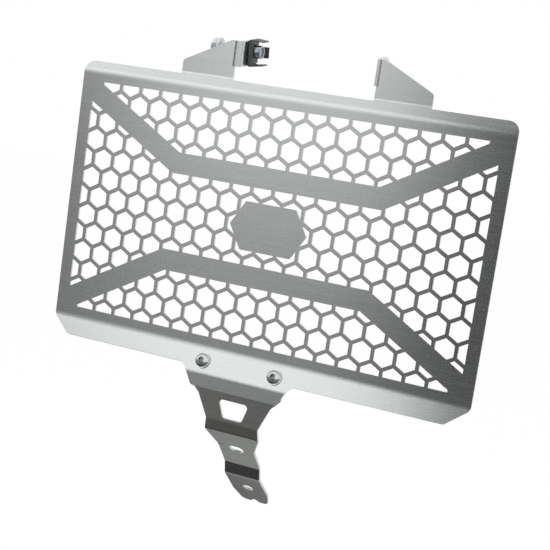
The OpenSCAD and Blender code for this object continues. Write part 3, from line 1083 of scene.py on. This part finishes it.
@dataclass(frozen=True)
class GreyCard:
    """A soft-edged studio card that steel mirrors and the camera doesn't see.

    Attributes:
        name: The card's name.
        azimuth: Its direction from the target, to the right of straight in front.
        elevation: Its direction from the target, over level.
        distance: How far off it stands.
        width: Its width.
        height: Its height.
        tone: The grey of its glow.
        side_fade: Share of the width over which each side fades out.
        end_fade: Share of the height over which the top and the foot fade out.
        target: The point that it faces.
    """

    name: str
    azimuth: float
    elevation: float
    distance: float
    width: float
    height: float
    tone: float
    side_fade: float
    end_fade: float
    target: Place = FACE_MIDDLE

    def build(self) -> None:
        """Makes the card so that it faces its target."""
        azimuth, elevation = math.radians(self.azimuth), math.radians(self.elevation)
        away = Vector((math.sin(azimuth) * math.cos(elevation),
                       -math.cos(azimuth) * math.cos(elevation), math.sin(elevation)))
        card = mirrored_surface(self.name, SQUARE, [(0, 1, 2, 3)], self.material())
        card.matrix_world = (Matrix.Translation(Vector(self.target) + away * self.distance)
                             @ away.to_track_quat("Z", "Y").to_matrix().to_4x4()
                             @ Matrix.Diagonal((self.width, self.height, 1.0, 1.0)))

    def material(self) -> bpy.types.Material:
        """Builds the card's surface, which fades out towards its edges.

        Returns:
            The material.
        """
        nodes = new_material(self.name)
        place = nodes.add("SeparateXYZ", Vector=nodes.add("TexCoord").outputs["Object"])
        fades = []
        for axis, fade in (("X", self.side_fade), ("Y", self.end_fade)):
            inside = nodes.math("SUBTRACT", 0.5, nodes.math("ABSOLUTE", place.outputs[axis]))
            fades.append(nodes.math("DIVIDE", inside, fade, clamp=True))
        return veiled_glow(nodes, nodes.math("MULTIPLY", *fades, clamp=True), self.tone)


@dataclass(frozen=True)
class GreySkirt:
    """The grey wall and ground that steel mirrors all round, below the wall's top.

    Attributes:
        radius: Radius of the wall.
        foot: Height of the ground.
        top: Height of the wall's top.
        fade: Height over which the wall fades out below its top.
        wall_tone: The wall's grey.
        ground_stops: The ground's greys, each with its share of the radius.
        segments: Flat sides of the wall.
    """

    radius: float = 1.9
    foot: float = -0.44
    top: float = 0.21
    fade: float = 0.12
    wall_tone: float = 0.265
    ground_stops: tuple[tuple[float, float], ...] = (
        (0.0, 0.40), (0.14, 0.40), (0.24, 0.05), (0.30, 0.07), (0.37, 0.12), (0.46, 0.20),
        (1.0, 0.17))
    segments: int = 64

    def ring(self, height: float) -> list[Place]:
        """Gives the points of a level ring of the wall."""
        angles = [math.tau * i / self.segments for i in range(self.segments)]
        return [(self.radius * math.cos(a), self.radius * math.sin(a), height) for a in angles]

    def build(self) -> None:
        """Makes the wall and the ground."""
        count = self.segments
        steps = [(i, (i + 1) % count) for i in range(count)]
        foot, top = self.ring(self.foot), self.ring(self.top)
        wall = mirrored_surface("grey_wall", foot + top,
                                [(a, b, b + count, a + count) for a, b in steps],
                                self.wall_material())
        ground = mirrored_surface("grey_ground", foot, [tuple(range(count))],
                                  self.ground_material())
        for surface in (wall, ground):
            surface.location = (*FACE_MIDDLE[:2], 0.0)

    def wall_material(self) -> bpy.types.Material:
        """Builds the wall's grey, which fades out towards its top.

        Returns:
            The material.
        """
        nodes = new_material("grey_wall")
        place = nodes.add("SeparateXYZ", Vector=nodes.add("TexCoord").outputs["Object"])
        below = nodes.math("SUBTRACT", self.top, place.outputs["Z"])
        return veiled_glow(nodes, nodes.math("DIVIDE", below, self.fade, clamp=True),
                           self.wall_tone)

    def ground_material(self) -> bpy.types.Material:
        """Builds the ground's grey, which changes with the distance from the guard.

        Returns:
            The material.
        """
        nodes = new_material("grey_ground")
        level = nodes.add("VectorMath", operation="MULTIPLY")
        nodes.link(nodes.add("TexCoord").outputs["Object"], level.inputs[0])
        level.inputs[1].default_value = (1.0, 1.0, 0.0)
        distance = nodes.add("VectorMath", operation="LENGTH")
        nodes.link(level.outputs["Vector"], distance.inputs[0])
        share = nodes.math("DIVIDE", distance.outputs["Value"], self.radius)
        grey = nodes.add("Emission", Color=nodes.ramp(share, self.ground_stops), Strength=1.0)
        return nodes.finish(grey.outputs["Emission"])


@dataclass(frozen=True)
class SoftLamp:
    """A soft square lamp that faces the guard and isn't mirrored.

    Attributes:
        name: The lamp's name.
        place: Where it hangs.
        watts: Its power.
        size: Length of its side.
    """

    name: str
    place: Place
    watts: float
    size: float = 1.0

    def build(self) -> None:
        """Hangs the lamp."""
        data = bpy.data.lights.new(self.name, "AREA")
        data.shape = "SQUARE"
        data.size = self.size
        data.energy = self.watts
        lamp = bpy.data.objects.new(self.name, data)
        lamp.location = self.place
        lamp.rotation_mode = "QUATERNION"
        toward = Vector(FACE_MIDDLE) - Vector(self.place)
        lamp.rotation_quaternion = toward.to_track_quat("-Z", "Y")
        lamp.visible_camera = False
        lamp.visible_glossy = False
        bpy.context.scene.collection.objects.link(lamp)


@dataclass(frozen=True)
class Viewpoint:
    """The camera, at the viewpoint that was fitted to the photograph.

    Attributes:
        place: Where it stands.
        forward: The direction that it looks in.
        up: The direction that is up in the picture.
        lens: Focal length in millimetres.
        sensor: Width of the sensor in millimetres.
    """

    place: Place = (0.29789, -0.76447, 0.27651)
    forward: Place = (-0.3624, 0.9200, -0.1495)
    up: Place = (-0.1891, 0.0845, 0.9783)
    lens: float = 78.94
    sensor: float = 36.0

    def build(self) -> None:
        """Sets up the camera and makes it the scene's."""
        data = bpy.data.cameras.new("camera")
        data.lens = self.lens
        data.sensor_width = self.sensor
        camera = bpy.data.objects.new("camera", data)
        bpy.context.scene.collection.objects.link(camera)
        back = -Vector(self.forward).normalized()
        right = Vector(self.up).cross(back).normalized()
        turn = Matrix((right, back.cross(right), back)).transposed()
        camera.matrix_world = Matrix.Translation(self.place) @ turn.to_4x4()
        bpy.context.scene.camera = camera


@dataclass
class Studio:
    """The plain pale studio: floor, white surroundings, soft lamps, cards and the camera.

    Attributes:
        ambient: Brightness of the surroundings as a light.
        floor_height: Height of the floor, well below the guard, which its mount holds.
        floor_size: Length of the floor's side.
        floor_grey: Share of the light that the floor sends back.
        floor_glow: Brightness of the white that is blended in where the floor is seen.
        floor_white: Share of that white.
        lamps: The lamps.
        cards: The cards that shape what the steel mirrors.
        viewpoint: The camera.
    """

    ambient: float = 0.9
    floor_height: float = -0.45
    floor_size: float = 14.0
    floor_grey: float = 0.93
    floor_glow: float = 1.06
    floor_white: float = 0.7
    lamps: tuple[SoftLamp, ...] = (
        SoftLamp("lamp_above_left", (-0.9, -0.9, 1.5), watts=3.2),
        SoftLamp("lamp_above_right", (1.3, -0.3, 1.3), watts=2.6),
    )
    cards: tuple[GreyCard, ...] = (
        GreyCard("card_camera_side", azimuth=-2.5, elevation=-24.0, distance=1.55, width=0.74,
                 height=2.6, tone=0.02, side_fade=0.20, end_fade=0.08),
        GreyCard("card_camera_side_high", azimuth=3.2, elevation=25.0, distance=1.55, width=0.72,
                 height=0.72, tone=0.02, side_fade=0.12, end_fade=0.22),
        GreyCard("card_left", azimuth=-50.0, elevation=2.0, distance=1.5, width=1.2,
                 height=1.2, tone=0.15, side_fade=0.25, end_fade=0.3),
        GreyCard("card_right_high", azimuth=-1.2, elevation=43.0, distance=1.3, width=0.57,
                 height=0.66, tone=0.02, side_fade=0.13, end_fade=0.25),
        GreyCard("soft_box", azimuth=-30.0, elevation=26.6, distance=1.7, width=1.6,
                 height=0.43, tone=1.85, side_fade=0.12, end_fade=0.25),
        GreyCard("card_left_high", azimuth=-46.0, elevation=46.0, distance=1.8, width=1.5,
                 height=0.56, tone=0.74, side_fade=0.2, end_fade=0.25),
        GreyCard("card_riser", azimuth=-30.0, elevation=-53.5, distance=0.5, width=0.7,
                 height=0.16, tone=0.0, side_fade=0.1, end_fade=0.2, target=(0.0, -0.01, 0.02)),
        GreyCard("edge_light", azimuth=155.0, elevation=-14.0, distance=1.2, width=0.9,
                 height=0.9, tone=1.0, side_fade=0.2, end_fade=0.2),
    )
    viewpoint: Viewpoint = Viewpoint()

    def build(self) -> None:
        """Makes the whole studio."""
        self.build_world()
        self.build_floor()
        GreySkirt().build()
        for piece in (*self.cards, *self.lamps, self.viewpoint):
            piece.build()
        bpy.context.scene.view_settings.view_transform = "Standard"
        LOG.info("built the studio")

    def build_world(self) -> None:
        """Surrounds the scene with white, a little dimmer as a light than to the eye."""
        world = bpy.data.worlds.new("white_surroundings")
        bpy.context.scene.world = world
        world.use_nodes = True
        world.node_tree.nodes.clear()
        nodes = Nodes(world)
        light = nodes.add("Background", Color=WHITE, Strength=self.ambient)
        white = nodes.add("Background", Color=WHITE, Strength=1.0)
        nodes.finish(nodes.blend(nodes.seen_rays(), light.outputs["Background"],
                                 white.outputs["Background"]))

    def build_floor(self) -> None:
        """Lays the pale floor, which still shows the guard's shadow."""
        nodes = new_material("pale_floor")
        grey = nodes.add("BsdfDiffuse", Color=(self.floor_grey,) * 3)
        white = nodes.add("Emission", Color=WHITE, Strength=self.floor_glow)
        share = nodes.math("MULTIPLY", nodes.seen_rays(), self.floor_white)
        material = nodes.finish(nodes.blend(share, grey.outputs["BSDF"], white.outputs["Emission"]))
        mesh = bpy.data.meshes.new("floor")
        mesh.from_pydata([Vector(corner) * self.floor_size for corner in SQUARE], [],
                         [(0, 1, 2, 3)])
        mesh.materials.append(material)
        floor = bpy.data.objects.new("floor", mesh)
        floor.location = (*FACE_MIDDLE[:2], self.floor_height)
        bpy.context.scene.collection.objects.link(floor)


def main() -> None:
    """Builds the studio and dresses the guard."""
    logging.basicConfig(level=logging.INFO, format="%(name)s: %(message)s")
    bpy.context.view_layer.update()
    Studio().build()
    GuardSheet().build()
    LowerBracket().build()
    EarClip().build()


if __name__ == "__main__":
    main()
